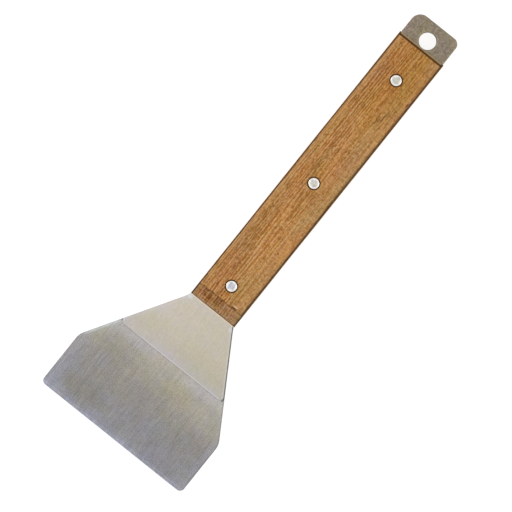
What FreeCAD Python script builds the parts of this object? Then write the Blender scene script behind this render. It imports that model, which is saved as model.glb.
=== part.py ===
import FreeCAD, Part
import math
import os

import Sketcher

Vector = FreeCAD.Vector

# A flat scraper with a riveted wood handle, in millimetres.
# It lies on its lower scale: +Z is up, +Y runs from the working edge to the tail, +X is to the right.

DIMENSIONS = [
    # The flared head, seen from above
    ("blade_width", 100.0),
    ("blade_side_length", 34.0),
    ("flare_length", 56.2),
    ("neck_width", 31.0),
    ("neck_setback", 1.1),
    ("neck_radius", 10.0),
    ("shoulder_radius", 10.0),
    # The blade under the plate
    ("blade_thickness", 1.2),
    ("blade_setback", 5.8),
    ("blade_corner_radius", 3.0),
    ("ground_edge_length", 1.6),
    ("ground_edge_land", 0.4),
    # The plate with the tang and the tail
    ("plate_thickness", 2.0),
    ("plate_reach", 37.3),
    ("plate_corner_radius", 2.5),
    ("plate_edge_round", 0.4),
    ("tail_reach", 16.2),
    ("tail_width", 29.8),
    ("tail_left_radius", 6.2),
    ("tail_right_radius", 4.0),
    ("hang_hole_diameter", 9.8),
    ("hang_hole_setback", 5.65),
    # The two wood scales
    ("scale_width", 31.0),
    ("scale_length", 186.3),
    ("scale_thickness", 7.5),
    ("scale_slope_length", 7.4),
    ("scale_lip", 0.8),
    ("scale_edge_round", 1.0),
    # The two-piece rivets
    ("rivet_front_inset", 16.8),
    ("rivet_rear_inset", 23.05),
    ("rivet_clearance", 0.05),
    ("head_diameter", 6.35),
    ("head_height", 1.1),
    ("head_edge_bevel", 0.35),
    ("head_recess", 0.15),
    ("head_clearance", 0.5),
    ("sleeve_diameter", 4.4),
    ("sleeve_bore", 3.2),
    ("sleeve_end_gap", 0.6),
    ("post_end_gap", 1.0),
]

RIVET_PLACES = ["front", "middle", "rear"]

# Lengths that several pieces share, worked out from the sizes above.
# Lengths along the tool are counted from the front end of the scales.
HEAD_LENGTH = "(Sizes.neck_setback + Sizes.flare_length + Sizes.blade_side_length)"
TAIL_END = "(Sizes.scale_length + Sizes.tail_reach)"
SCALE_FRONT_Y = f"(({HEAD_LENGTH} - {TAIL_END}) / 2)"
FLARE_SLOPE = "((Sizes.blade_width - Sizes.neck_width) / 2 / Sizes.flare_length)"
RIVET_SPAN = "(Sizes.scale_length - Sizes.rivet_front_inset - Sizes.rivet_rear_inset)"
HEAD_SEAT_DEPTH = "(Sizes.head_height + Sizes.head_recess)"
HANDLE_THICKNESS = "(2 * Sizes.scale_thickness + Sizes.plate_thickness)"
RIVET_GRIP = f"({HANDLE_THICKNESS} - 2 * {HEAD_SEAT_DEPTH})"
RIVET_HOLE_DIAMETER = "(Sizes.sleeve_diameter + 2 * Sizes.rivet_clearance)"
COUNTERBORE_DIAMETER = "(Sizes.head_diameter + 2 * Sizes.head_clearance)"

SAME_PLACE = 0.001
FULL_TURN = 360
UPRIGHT = FreeCAD.Rotation()
TURNED_OVER = FreeCAD.Rotation(Vector(0, 1, 0), 180)

# How a sketch numbers the points of a line or circle, its own two axes and its origin
START, END, CENTRE = range(1, 4)
SKETCH_AXES = {"level": -1, "upright": -2}
SKETCH_ORIGIN = (-1, 1)

document = FreeCAD.newDocument("scraper")
sheet = document.addObject("Spreadsheet::Sheet", "Sizes")
for row, (name, millimetres) in enumerate(DIMENSIONS, start=1):
    sheet.set(f"A{row}", name)
    sheet.set(f"B{row}", str(millimetres))
    sheet.setAlias(f"B{row}", name)
document.recompute()


def value(expression):
    """The present number of an expression on the sheet."""
    return float(document.Sizes.evalExpression(str(expression)))


def flare_half_width(distance):
    """Half the head's width at a distance ahead of the scales, on the straight flare."""
    return f"(Sizes.neck_width / 2 + ({distance} - Sizes.neck_setback) * {FLARE_SLOPE})"


def new_body(label):
    body = document.addObject("PartDesign::Body", label)
    body.Label = label
    return body


def new_sketch(body, name, plane_role):
    sketch = body.newObject("Sketcher::SketchObject", name)
    plane = next(item for item in body.Origin.OriginFeatures if item.Role == plane_role)
    sketch.AttachmentSupport = [(plane, "")]
    sketch.MapMode = "FlatFace"
    return sketch


def bind_distance(sketch, kind, start, end, expression):
    index = sketch.addConstraint(Sketcher.Constraint(kind, *start, *end, value(expression)))
    sketch.setExpression(f"Constraints[{index}]", expression)


def locate(sketch, vertex, x, y):
    """Holds a vertex at two distances from the sketch's origin, or on an axis where one is 0."""
    for kind, axis, distance in (("DistanceX", "upright", x), ("DistanceY", "level", y)):
        if distance == "0":
            sketch.addConstraint(Sketcher.Constraint("PointOnObject", *vertex, SKETCH_AXES[axis]))
        else:
            bind_distance(sketch, kind, SKETCH_ORIGIN, vertex, distance)


def close_loop(sketch, count):
    """Joins the end of each line to the start of the next."""
    for index in range(count):
        following = (index + 1) % count
        sketch.addConstraint(Sketcher.Constraint("Coincident", index, END, following, START))


def add_lines(sketch, points):
    for start, end in zip(points, points[1:] + points[:1]):
        sketch.addGeometry(Part.LineSegment(Vector(*start), Vector(*end)), False)


def draw_polygon(sketch, corners):
    """Straight lines through corners given as pairs of expressions."""
    add_lines(sketch, [(value(x), value(y)) for x, y in corners])
    close_loop(sketch, len(corners))
    for index, (x, y) in enumerate(corners):
        locate(sketch, (index, START), x, y)


def draw_mirrored(sketch, right_side):
    """A closed outline whose left side mirrors the corners given for the right side."""
    right = [(value(x), value(y)) for x, y in right_side]
    left = [(-x, y) for x, y in reversed(right)]
    add_lines(sketch, right + left)
    count = len(right) + len(left)
    close_loop(sketch, count)
    axis = SKETCH_AXES["upright"]
    for index, (x, y) in enumerate(right_side):
        mirror = count - 1 - index
        sketch.addConstraint(Sketcher.Constraint("Symmetric", mirror, START, index, START, axis))
        locate(sketch, (index, START), x, y)


def draw_circle(sketch, y, diameter):
    """A circle on the tool's middle line."""
    circle = Part.Circle(Vector(0, value(y)), Vector(0, 0, 1), value(diameter) / 2)
    sketch.addGeometry(circle, False)
    locate(sketch, (0, CENTRE), "0", y)
    index = sketch.addConstraint(Sketcher.Constraint("Diameter", 0, value(diameter)))
    sketch.setExpression(f"Constraints[{index}]", diameter)


def add_feature(body, kind, name, **settings):
    feature = body.newObject(f"PartDesign::{kind}", name)
    for setting, content in settings.items():
        setattr(feature, setting, content)
    return feature


def finish_feature(body, feature):
    document.recompute()
    body.Tip = feature
    return feature


def pad(body, sketch, name, length, side_type="One side"):
    feature = add_feature(body, "Pad", name, Profile=sketch, SideType=side_type)
    feature.setExpression("Length", length)
    return finish_feature(body, feature)


def pocket_through(body, sketch, name):
    """Cuts the sketch through the body, to both sides of the sketch."""
    feature = add_feature(body, "Pocket", name, Profile=sketch, Type="ThroughAll", SideType="Symmetric")
    return finish_feature(body, feature)


def repeat_along(body, feature, name, length, count):
    """Repeats a feature along +Y, with the last copy at the length given."""
    direction = next(item for item in body.Origin.OriginFeatures if item.Role == "Y_Axis")
    pattern = add_feature(body, "LinearPattern", name, Originals=[feature], Direction=(direction, [""]))
    pattern.Occurrences = count
    pattern.setExpression("Length", length)
    return finish_feature(body, pattern)


def round_edges(body, base, name, radius, wanted):
    """Rounds each edge of the body so far that the test picks."""
    names = [f"Edge{index}" for index, edge in enumerate(base.Shape.Edges, start=1) if wanted(edge)]
    if not names:
        raise ValueError(f"{name} finds no edge to round")
    feature = add_feature(body, "Fillet", name, Base=(base, names))
    feature.setExpression("Radius", radius)
    return finish_feature(body, feature)


def upright_at(x, y):
    """A test for an upright edge that stands at one corner of an outline."""
    corner_x, corner_y = value(x), value(y)

    def wanted(edge):
        ends = [vertex.Point for vertex in edge.Vertexes]
        apart = [math.hypot(end.x - corner_x, end.y - corner_y) for end in ends]
        return len(ends) == 2 and max(apart) < SAME_PLACE

    return wanted


def at_height(height):
    """A test for an edge that lies level at one height."""
    level = value(height)

    def wanted(edge):
        return abs(edge.BoundBox.ZMin - level) < SAME_PLACE and abs(edge.BoundBox.ZMax - level) < SAME_PLACE

    return wanted


def place_body(body, y, z, rotation=UPRIGHT):
    body.Placement = FreeCAD.Placement(Vector(0, value(y), value(z)), rotation)
    body.setExpression("Placement.Base.y", y)
    body.setExpression("Placement.Base.z", z)


def make_blade():
    """The thin sheet of the head: short of the handle, flared, then square to the ground edge."""
    body = new_body("blade")
    outline = new_sketch(body, "blade_outline", "XY_Plane")
    shoulder_y = "-(Sizes.neck_setback + Sizes.flare_length)"
    half_width = "Sizes.blade_width / 2"
    draw_mirrored(
        outline,
        [
            (half_width, f"-{HEAD_LENGTH}"),
            (half_width, shoulder_y),
            (flare_half_width("Sizes.blade_setback"), "-Sizes.blade_setback"),
        ],
    )
    solid = pad(body, outline, "blade_sheet", "Sizes.blade_thickness")
    for side, sign in (("left", "-"), ("right", "")):
        corner = upright_at(f"{sign}{half_width}", f"-{HEAD_LENGTH}")
        solid = round_edges(body, solid, f"blade_corner_{side}", "Sizes.blade_corner_radius", corner)
        shoulder = upright_at(f"{sign}{half_width}", shoulder_y)
        solid = round_edges(body, solid, f"shoulder_{side}", "Sizes.shoulder_radius", shoulder)

    grind = new_sketch(body, "ground_edge_profile", "YZ_Plane")
    draw_polygon(
        grind,
        [
            (f"-{HEAD_LENGTH}", "Sizes.ground_edge_land"),
            (f"-{HEAD_LENGTH} + Sizes.ground_edge_length", "Sizes.blade_thickness"),
            (f"-{HEAD_LENGTH}", "Sizes.blade_thickness"),
        ],
    )
    pocket_through(body, grind, "ground_edge")
    place_body(body, SCALE_FRONT_Y, "Sizes.scale_thickness - Sizes.blade_thickness")
    return body


def make_tang_plate():
    """The thick sheet: the stiff half of the head, the tang between the scales and the tail."""
    body = new_body("tang_plate")
    outline = new_sketch(body, "plate_outline", "XY_Plane")
    end_half_width = flare_half_width("Sizes.plate_reach")
    neck_half_width = "Sizes.neck_width / 2"
    tail_half_width = "Sizes.tail_width / 2"
    draw_mirrored(
        outline,
        [
            (end_half_width, "-Sizes.plate_reach"),
            (neck_half_width, "-Sizes.neck_setback"),
            (tail_half_width, TAIL_END),
        ],
    )
    solid = pad(body, outline, "plate_sheet", "Sizes.plate_thickness")
    tail_radii = {"left": "Sizes.tail_left_radius", "right": "Sizes.tail_right_radius"}
    for side, sign in (("left", "-"), ("right", "")):
        neck = upright_at(f"{sign}{neck_half_width}", "-Sizes.neck_setback")
        solid = round_edges(body, solid, f"neck_{side}", "Sizes.neck_radius", neck)
        corner = upright_at(f"{sign}{end_half_width}", "-Sizes.plate_reach")
        solid = round_edges(body, solid, f"plate_corner_{side}", "Sizes.plate_corner_radius", corner)
        tail = upright_at(f"{sign}{tail_half_width}", TAIL_END)
        solid = round_edges(body, solid, f"tail_corner_{side}", tail_radii[side], tail)

    hole = new_sketch(body, "hang_hole_circle", "XY_Plane")
    draw_circle(hole, "Sizes.scale_length + Sizes.hang_hole_setback", "Sizes.hang_hole_diameter")
    solid = pocket_through(body, hole, "hang_hole")
    top_rim = at_height("Sizes.plate_thickness")
    round_edges(body, solid, "plate_edge_round", "Sizes.plate_edge_round", top_rim)

    rivet = new_sketch(body, "rivet_hole_circle", "XY_Plane")
    draw_circle(rivet, "Sizes.rivet_front_inset", RIVET_HOLE_DIAMETER)
    hole = pocket_through(body, rivet, "rivet_hole")
    repeat_rivets(body, hole)
    place_body(body, SCALE_FRONT_Y, "Sizes.scale_thickness")
    return body


def repeat_rivets(body, hole):
    return repeat_along(body, hole, "rivet_row", RIVET_SPAN, len(RIVET_PLACES))


def make_scale(label, z, rotation):
    """A wood slab with a sloped front end, rounded edges and a counterbored row of rivet holes."""
    body = new_body(label)
    side = new_sketch(body, "side_profile", "YZ_Plane")
    draw_polygon(
        side,
        [
            ("0", "0"),
            ("Sizes.scale_length", "0"),
            ("Sizes.scale_length", "Sizes.scale_thickness"),
            ("Sizes.scale_slope_length", "Sizes.scale_thickness"),
            ("0", "Sizes.scale_lip"),
        ],
    )
    solid = pad(body, side, "slab", "Sizes.scale_width", side_type="Symmetric")
    side_x = value("Sizes.scale_width / 2")
    lip_height = value("Sizes.scale_lip")
    rear_y = value("Sizes.scale_length")

    def on_outer_rim(edge):
        """The long edges, the sloped edges and the rear edge of the outer face."""
        box = edge.BoundBox
        clear_of_plate = box.ZMin > lip_height - SAME_PLACE and box.ZMax > lip_height + SAME_PLACE
        on_side = abs(box.XMin) > side_x - SAME_PLACE and box.XLength < SAME_PLACE
        on_rear = box.YMin > rear_y - SAME_PLACE
        return clear_of_plate and (on_side or on_rear) and not (on_side and on_rear)

    round_edges(body, solid, "outer_rim_round", "Sizes.scale_edge_round", on_outer_rim)

    circle = new_sketch(body, "rivet_seat_circle", "XY_Plane")
    draw_circle(circle, "Sizes.rivet_front_inset", COUNTERBORE_DIAMETER)
    circle.setExpression("AttachmentOffset.Base.z", "Sizes.scale_thickness")
    document.recompute()
    seat = add_feature(
        body,
        "Hole",
        "rivet_seat",
        Profile=circle,
        DepthType="ThroughAll",
        ThreadType="None",
        HoleCutType="Counterbore",
        HoleCutCustomValues=True,
    )
    seat.setExpression("Diameter", RIVET_HOLE_DIAMETER)
    seat.setExpression("HoleCutDiameter", COUNTERBORE_DIAMETER)
    seat.setExpression("HoleCutDepth", HEAD_SEAT_DEPTH)
    finish_feature(body, seat)
    repeat_rivets(body, seat)
    place_body(body, SCALE_FRONT_Y, z, rotation)
    return body


def make_rivet_half(label, shank_diameter, shank_length, bore_diameter=None):
    """A flat head with a bevelled edge, on a shank that points down and is hollow where it has a bore."""
    body = new_body(label)
    profile = new_sketch(body, "half_profile", "XZ_Plane")
    head_radius = "Sizes.head_diameter / 2"
    shank_radius = f"{shank_diameter} / 2"
    foot_z = f"-{shank_length}"
    if bore_diameter:
        bore_radius = f"{bore_diameter} / 2"
        core = [("0", "0"), (bore_radius, "0"), (bore_radius, foot_z)]
    else:
        core = [("0", foot_z)]
    outside = [
        (shank_radius, foot_z),
        (shank_radius, "0"),
        (head_radius, "0"),
        (head_radius, "Sizes.head_height - Sizes.head_edge_bevel"),
        (f"{head_radius} - Sizes.head_edge_bevel", "Sizes.head_height"),
        ("0", "Sizes.head_height"),
    ]
    draw_polygon(profile, core + outside)
    turned = add_feature(body, "Revolution", "turned_form", Profile=profile, Angle=FULL_TURN)
    turned.ReferenceAxis = (profile, ["V_Axis"])
    finish_feature(body, turned)
    return body


def make_rivets():
    """A sleeve from above and a post from below at each place."""
    post_diameter = "(Sizes.sleeve_bore - 2 * Sizes.rivet_clearance)"
    sleeve_length = f"({RIVET_GRIP} - Sizes.sleeve_end_gap)"
    post_length = f"({RIVET_GRIP} - Sizes.post_end_gap)"
    upper_seat_z = f"{HANDLE_THICKNESS} - {HEAD_SEAT_DEPTH}"
    gaps = len(RIVET_PLACES) - 1
    bodies = []
    for index, place in enumerate(RIVET_PLACES):
        y = f"{SCALE_FRONT_Y} + Sizes.rivet_front_inset + {index} * {RIVET_SPAN} / {gaps}"
        sleeve = make_rivet_half(
            f"rivet_sleeve_{place}", "Sizes.sleeve_diameter", sleeve_length, "Sizes.sleeve_bore"
        )
        place_body(sleeve, y, upper_seat_z)
        post = make_rivet_half(f"rivet_post_{place}", post_diameter, post_length)
        place_body(post, y, HEAD_SEAT_DEPTH, TURNED_OVER)
        bodies += [sleeve, post]
    return bodies


def check_model(bodies):
    document.recompute()
    for item in document.Objects:
        if "Invalid" in item.State or "Error" in item.State:
            raise RuntimeError(f"{item.Name} failed: {item.State}")
    for body in bodies:
        shape = body.Shape
        if shape.isNull() or not shape.isValid() or len(shape.Solids) != 1:
            raise RuntimeError(f"{body.Label} isn't one valid solid")


def export_parts(bodies):
    os.makedirs("parts", exist_ok=True)
    for body in bodies:
        body.Shape.exportStep(f"parts/{body.Label}.step")
        print(f"{body.Label}: {body.Shape.Volume:.1f} cubic mm")


pieces = [
    make_blade(),
    make_tang_plate(),
    make_scale("lower_scale", "Sizes.scale_thickness", TURNED_OVER),
    make_scale("upper_scale", "Sizes.scale_thickness + Sizes.plate_thickness", UPRIGHT),
]
pieces += make_rivets()
check_model(pieces)
export_parts(pieces)
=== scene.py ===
import math

import bmesh
import bpy
import numpy as np
from mathutils import Matrix, Vector


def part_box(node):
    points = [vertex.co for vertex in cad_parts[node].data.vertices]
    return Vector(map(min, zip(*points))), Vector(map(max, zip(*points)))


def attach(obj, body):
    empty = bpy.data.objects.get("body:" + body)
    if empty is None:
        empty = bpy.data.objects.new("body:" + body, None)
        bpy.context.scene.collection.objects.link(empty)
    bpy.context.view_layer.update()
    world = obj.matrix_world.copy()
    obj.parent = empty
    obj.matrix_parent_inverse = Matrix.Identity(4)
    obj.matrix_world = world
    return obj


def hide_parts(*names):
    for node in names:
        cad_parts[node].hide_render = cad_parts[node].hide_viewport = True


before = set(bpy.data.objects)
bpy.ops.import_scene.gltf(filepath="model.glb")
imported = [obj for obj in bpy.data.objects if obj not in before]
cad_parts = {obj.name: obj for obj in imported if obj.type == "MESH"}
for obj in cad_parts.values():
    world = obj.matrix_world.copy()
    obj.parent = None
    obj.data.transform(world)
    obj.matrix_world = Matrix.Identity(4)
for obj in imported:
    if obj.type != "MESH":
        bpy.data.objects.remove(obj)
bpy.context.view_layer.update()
print("frame loaded")

mm = 0.001
samePoint = 0.001 * mm  # points nearer than this are one
halfBlend = 1 * mm  # how far to either side of a middle plane one half's finish turns into the other's
layerShift = 1.7  # keeps the noises of one sum apart

# The places that the finishes follow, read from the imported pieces
blade = dict(zip(("low", "high"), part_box("blade")))
plate = dict(zip(("low", "high"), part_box("tang_plate")))
upperScale = dict(zip(("low", "high"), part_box("upper_scale")))
lowerScale = dict(zip(("low", "high"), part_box("lower_scale")))
rivetPlaces = ["front", "middle", "rear"]
rivetRow = [sum(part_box("rivet_sleeve_" + place), Vector()).y / 2 for place in rivetPlaces]
middleZ = (upperScale["high"].z + lowerScale["low"].z) / 2


# Shader arithmetic: a Wire is one socket, and + - * / and abs on it add Math nodes.
class Wire:
    def __init__(self, finish, socket):
        self.finish = finish
        self.socket = socket

    def __add__(self, other):
        return self.finish.maths("ADD", self, other)

    def __sub__(self, other):
        return self.finish.maths("SUBTRACT", self, other)

    def __rsub__(self, other):
        return self.finish.maths("SUBTRACT", other, self)

    def __mul__(self, other):
        return self.finish.maths("MULTIPLY", self, other)

    def __truediv__(self, other):
        return self.finish.maths("DIVIDE", self, other)

    def __rtruediv__(self, other):
        return self.finish.maths("DIVIDE", other, self)

    def __abs__(self):
        return self.finish.maths("ABSOLUTE", self)

    __radd__ = __add__
    __rmul__ = __mul__

    def output(self, name):
        return Wire(self.finish, self.socket.node.outputs[name])


# One material while it is made. Every node comes from node().
class Finish:
    def __init__(self, name):
        self.material = bpy.data.materials.new(name)
        self.material.use_nodes = True
        self.tree = self.material.node_tree
        self.tree.nodes.clear()
        self.place = self.node("ShaderNodeTexCoord", {}, {}, "Object")
        self.x = self.node("ShaderNodeSeparateXYZ", {}, {0: self.place}, "X")
        self.y, self.z = self.x.output("Y"), self.x.output("Z")

    def node(self, kind, settings, inputs, output=0):
        made = self.tree.nodes.new(kind)
        for setting, content in settings.items():
            setattr(made, setting, content)
        for key, content in inputs.items():
            if isinstance(content, Wire):
                self.tree.links.new(content.socket, made.inputs[key])
            else:
                made.inputs[key].default_value = content
        return Wire(self, made.outputs[output]) if made.outputs else None

    def maths(self, operation, first, second=0.0):
        return self.node("ShaderNodeMath", {"operation": operation}, {0: first, 1: second})

    # noise from 0 to 1 about 0.5, whose lumps have the given sizes along X, Y and Z in millimetres
    def noise(self, sizes, detail=2.0, roughness=0.5, shift=0.0):
        scale = [1 / (size * mm) for size in sizes]
        spread = {"Vector": self.place, "Location": (shift,) * 3, "Scale": scale}
        lumps = {"Vector": self.node("ShaderNodeMapping", {}, spread), "Scale": 1.0}
        return self.node("ShaderNodeTexNoise", {}, {**lumps, "Detail": detail, "Roughness": roughness})

    # 0 below the first value, 1 above the second, smooth between
    def step(self, value, low, high):
        limits = {"Value": value, "From Min": low, "From Max": high}
        return self.node("ShaderNodeMapRange", {"interpolation_type": "SMOOTHSTEP"}, limits)

    # 1 below the first value, 0 above the second, smooth between
    def fade(self, value, low, high):
        return 1 - self.step(value, low, high)

    # 1 from the first value to the second, falling to 0 over the softness on either side
    def band(self, value, low, high, soft):
        return self.step(value, low - soft, low) * self.fade(value, high, high + soft)

    def larger(self, first, second):
        return self.maths("MAXIMUM", first, second)

    # the first number of a pair, with the factor times the second added
    def grown(self, factor, pair):
        return factor * pair[1] + pair[0]

    # a value with each of several masks added in its share
    def total(self, value, masks, shares):
        for mask, share in zip(masks, shares):
            value = value + mask * share
        return value

    # the first colour where the factor is 0, the second where it is 1
    def blend(self, factor, first, second, how="MIX"):
        colours = [colour if isinstance(colour, Wire) else (*colour, 1.0) for colour in (first, second)]
        settings = {"data_type": "RGBA", "blend_type": how, "clamp_factor": True}
        return self.node("ShaderNodeMix", settings, {0: factor, 6: colours[0], 7: colours[1]}, 2)

    # a colour times a tint that goes from the first to the second of a pair with the factor
    def tinted(self, colour, factor, pair):
        return self.blend(1.0, colour, self.blend(factor, *pair), "MULTIPLY")

    # a colour made lighter or darker by a number
    def shade(self, colour, factor):
        return self.node("ShaderNodeVectorMath", {"operation": "SCALE"}, {0: colour, "Scale": factor})

    # how far a point lies from the upright line through a place of the XY plane
    def distance(self, x, y):
        acrossIt, alongIt = self.x - x, self.y - y
        return self.maths("SQRT", acrossIt * acrossIt + alongIt * alongIt)

    # 0 on the left half of the tool, 1 on the right
    def rightHalf(self):
        return self.step(self.x, -halfBlend, halfBlend)

    # a colour that changes along a value, given as stops of (value, colour)
    def along(self, value, stops):
        colour = stops[0][1]
        for (start, _), (end, following) in zip(stops, stops[1:]):
            colour = self.blend(self.step(value, start, end), colour, following)
        return colour

    # how far inside the head's outline a point lies, from its flared and its straight sides
    def insideHead(self, shape):
        reach = upperScale["low"].y - self.y - shape["neckSetback"]
        lean = math.hypot(1, shape["flareSlope"])
        flare = (shape["neckHalf"] + reach * shape["flareSlope"] - abs(self.x)) / lean
        return self.maths("MINIMUM", flare, blade["high"].x - abs(self.x))

    # 1 at a place of the XY plane, falling smoothly to 0 on an ellipse about it, in millimetres
    def spot(self, place, size):
        acrossIt = (self.x - place[0] * mm) / (size[0] * mm)
        alongIt = (self.y - place[1] * mm) / (size[1] * mm)
        return self.fade(acrossIt * acrossIt + alongIt * alongIt, 0.0, 1.0)

    # a mask with spots on it, each given as (place, size, strength)
    def withSpots(self, mask, spots):
        for place, size, strength in spots:
            mask = self.larger(mask, self.spot(place, size) * strength)
        return mask

    # a colour with patches made lighter or darker, each given as (place, size, how much)
    def patched(self, colour, patches):
        for place, size, change in patches:
            colour = self.shade(colour, 1 + self.spot(place, size) * change)
        return colour

    # a colour with marks of another on it, each given as (place, size)
    def marked(self, colour, marks, strength, markColour):
        for place, size in marks:
            colour = self.blend(self.spot(place, size) * strength, colour, markColour)
        return colour

    # several noises added up, each as (sizes, weight, detail), about 0
    def layers(self, rows, shift=0.0):
        result = 0
        for count, (sizes, weight, detail) in enumerate(rows):
            layer = self.noise(sizes, detail=detail, shift=shift + layerShift * count)
            result = (layer - 0.5) * weight + result
        return result

    def bump(self, height, distance, strength):
        relief = {"Height": height, "Distance": distance, "Strength": strength}
        return self.node("ShaderNodeBump", {}, relief)

    def surface(self, constants, varying):
        shader = self.node("ShaderNodeBsdfPrincipled", {}, {**constants, **varying})
        return self.show(shader)

    def show(self, shader):
        self.node("ShaderNodeOutputMaterial", {}, {"Surface": shader})
        return self.material


# New pieces are surfaces: whole arrays of points, joined by quads.
def addMesh(name, points, faces):
    mesh = bpy.data.meshes.new(name)
    mesh.from_pydata(np.reshape(points, (-1, 3)).tolist(), [], faces)
    made = bpy.data.objects.new(name, mesh)
    bpy.context.scene.collection.objects.link(made)
    return made


# the quads of a grid of rows and columns; the last column joins the first where it goes around
def gridFaces(rows, columns, around=False):
    row, column = np.meshgrid(np.arange(rows - 1), np.arange(columns - (not around)), indexing="ij")
    here, following = row * columns + column, row * columns + (column + 1) % columns
    return np.stack([here, following, following + columns, here + columns], -1).reshape(-1, 4).tolist()


# A turned surface: each point (radius, height) of the profile goes around Z. The profile starts and
# ends on the axis, where a fan of triangles closes it, and runs from the top outwards and down.
def addTurned(name, profile, turns):
    angle = np.linspace(0, math.tau, turns, endpoint=False)
    radius, height = np.array(profile[1:-1]).T[:, :, None]
    rings = np.stack(np.broadcast_arrays(radius * np.cos(angle), radius * np.sin(angle), height), -1)
    ends = [(0, 0, profile[0][1]), (0, 0, profile[-1][1])]
    points = np.concatenate([rings.reshape(-1, 3), ends])
    count = len(rings) * turns
    first = np.arange(turns)
    second = (first + 1) % turns
    last = count - turns
    top = np.stack([np.full(turns, count), first, second], -1)
    bottom = np.stack([np.full(turns, count + 1), last + second, last + first], -1)
    quads = [face[::-1] for face in gridFaces(len(rings), turns, around=True)]
    return addMesh(name, points, quads + top.tolist() + bottom.tolist())


# Seeded unevenness of unit spread: a sum of sines of random direction and phase.
def unevenness(x, y, lengthX, lengthY, seed, waves=14):
    chance = np.random.default_rng(seed)
    shape = (waves,) + (1,) * np.ndim(x)
    across = math.tau / lengthX * chance.uniform(-1, 1, shape)
    along = math.tau / lengthY * chance.uniform(-1, 1, shape)
    phase = chance.uniform(0, math.tau, shape)
    return np.sin(across * x + along * y + phase).sum(0) / math.sqrt(waves / 2)


# A finished piece: one material, riding on the tool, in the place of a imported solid.
def settle(made, material, node):
    made.data.materials.clear()
    made.data.materials.append(material)
    made.data.polygons.foreach_set("material_index", np.zeros(len(made.data.polygons), int))
    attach(made, "root")
    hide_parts(node)


def smooth(mesh, upTo=35):
    mesh.shade_smooth()
    mesh.set_sharp_from_angle(angle=math.radians(upTo))


# Makes the mesh what its modifiers give, and takes them off.
def applyModifiers(made):
    evaluated = made.evaluated_get(bpy.context.evaluated_depsgraph_get())
    mesh = bpy.data.meshes.new_from_object(evaluated)
    made.modifiers.clear()
    made.data = mesh


def mergeDoubles(mesh, distance, flatUpTo=None):
    work = bmesh.new()
    work.from_mesh(mesh)
    bmesh.ops.remove_doubles(work, verts=work.verts, dist=distance)
    if flatUpTo:
        bmesh.ops.dissolve_limit(work, angle_limit=flatUpTo, verts=work.verts, edges=work.edges)
    work.to_mesh(mesh)
    work.free()


# The head's outline, seen from above, that both steels share, and where the hang hole lies.
headShape = {
    "neckHalf": 15.5 * mm,
    "neckSetback": 1.1 * mm,
    "flareSlope": 0.6139,
    "straightLength": 34 * mm,
    "holePlace": 136.35 * mm,
}

# The steel sheet of head, tang and tail: satin, warm, cooler at its front, duller on the tail.
plateLook = {
    "stops": [
        # share of the way from the wood to the front edge, colour; darker away from the wood, in part a
        # painted reflection
        (0.05, (0.598, 0.547, 0.466)),
        (0.22, (0.586, 0.536, 0.448)),
        (0.45, (0.580, 0.532, 0.455)),
        (0.68, (0.560, 0.510, 0.422)),
        (0.82, (0.530, 0.492, 0.412)),
        (0.97, (0.522, 0.492, 0.462)),
    ],
    "rightTint": (0.940, 0.945, 0.915),
    "rightFrom": (-20 * mm, 24 * mm),
    "tailColour": (0.272, 0.228, 0.165),
    "tailFade": 2 * mm,
    "tailNear": (0.5 * mm, 3.5 * mm),
    "tailNearGain": 0.14,
    "holeRing": (5.5 * mm, 6.1 * mm, 0.4 * mm),
    "holeRingGain": 0.12,
    "holeShade": (4.9 * mm, 5.2 * mm, 0.2 * mm),
    "holeShadeStrength": (0.1, 0.35),  # on the left, how much more on the right
    "steelHighlightColour": (0.68, 0.68, 0.71),
    "footHighlightColour": (0.75, 0.625, 0.455),
    "steelShadeColour": (0.085, 0.082, 0.085),
    "roughness": 0.36,
    "roughnessShares": (0.6, 0.2, 0.06),  # of the mottle, the fuzz and the tail
    "fuzzRelief": 0.5,
    "relief": (0.02 * mm, 0.4),  # depth, strength
    "mottle": [
        # sizes of the lumps in millimetres, how much they count, detail
        ((0.9, 1.3, 0.9), 0.26, 2.0),
        ((4.0, 6.0, 4.0), 0.07, 2.0),
        ((0.8, 16, 4.0), 0.13, 1.0),
    ],
    "tailFuzz": [
        ((0.75, 0.9, 0.75), 1.5, 2.0),
        ((2.2, 2.2, 2.2), 0.65, 1.0),
    ],
    "tintLayers": [
        ((1.4, 2.0, 1.4), 1.0, 2.0),
        ((9, 12, 9), 0.8, 1.0),
    ],
    "tints": [
        # shift of the noise, and the two tints that it goes between: warm and cool, green and pink
        (5.3, [(1.005, 1.005, 0.85), (0.995, 0.985, 1.14)]),
        (9.3, [(0.96, 1.02, 0.98), (1.03, 0.97, 1.015)]),
    ],
    "tailShift": 3.1,
    "tailTint": 0.5,
    "footHighlight": (0.7 * mm, 0.4 * mm, 0.85),  # width, softness, strength
    "footShadow": (0.1 * mm, 0.25 * mm, 0.35),
    "leftTint": [(1.0, 1.0, 1.0), (1.005, 1.02, 1.09)],
    "leftTintWidth": (0.5 * mm, 6 * mm),
    "rimWidth": (0.35 * mm, 0.9 * mm),
    "rimFrom": (-34 * mm, -14 * mm),
    "rimStrength": (0.25, 0.55),
    "neckSpots": [
        # place and size in millimetres, strength of the painted highlight
        ((-14.7, -57.4), (2.4, 1.9), 0.85),
        ((-17.0, -60.2), (1.2, 2.4), 0.35),
        ((15.2, -58.0), (2.0, 2.6), 0.65),
    ],
    "sideFade": 1 * mm,
    "sideLine": (0.20 * mm, 0.55 * mm, 0.25 * mm),
    "sideLineStrength": (0.92, 2.0),  # evenly, and with the mottle
    "sidePale": (1.05 * mm, 1.4 * mm, 0.45 * mm),
    "sidePaleStrength": (0.12, 0.18),
    # painted shade in a few spots, most by the plate's front corners
    "darkSpots": [
        ((36.0, -90.7), (0.75, 1.9), 0.95),
        ((-36.2, -91.0), (0.8, 0.9), 0.6),
        ((33.6, -86.9), (0.5, 0.6), 0.6),
        ((18.3, -61.6), (0.9, 1.2), 0.5),
    ],
}


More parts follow.
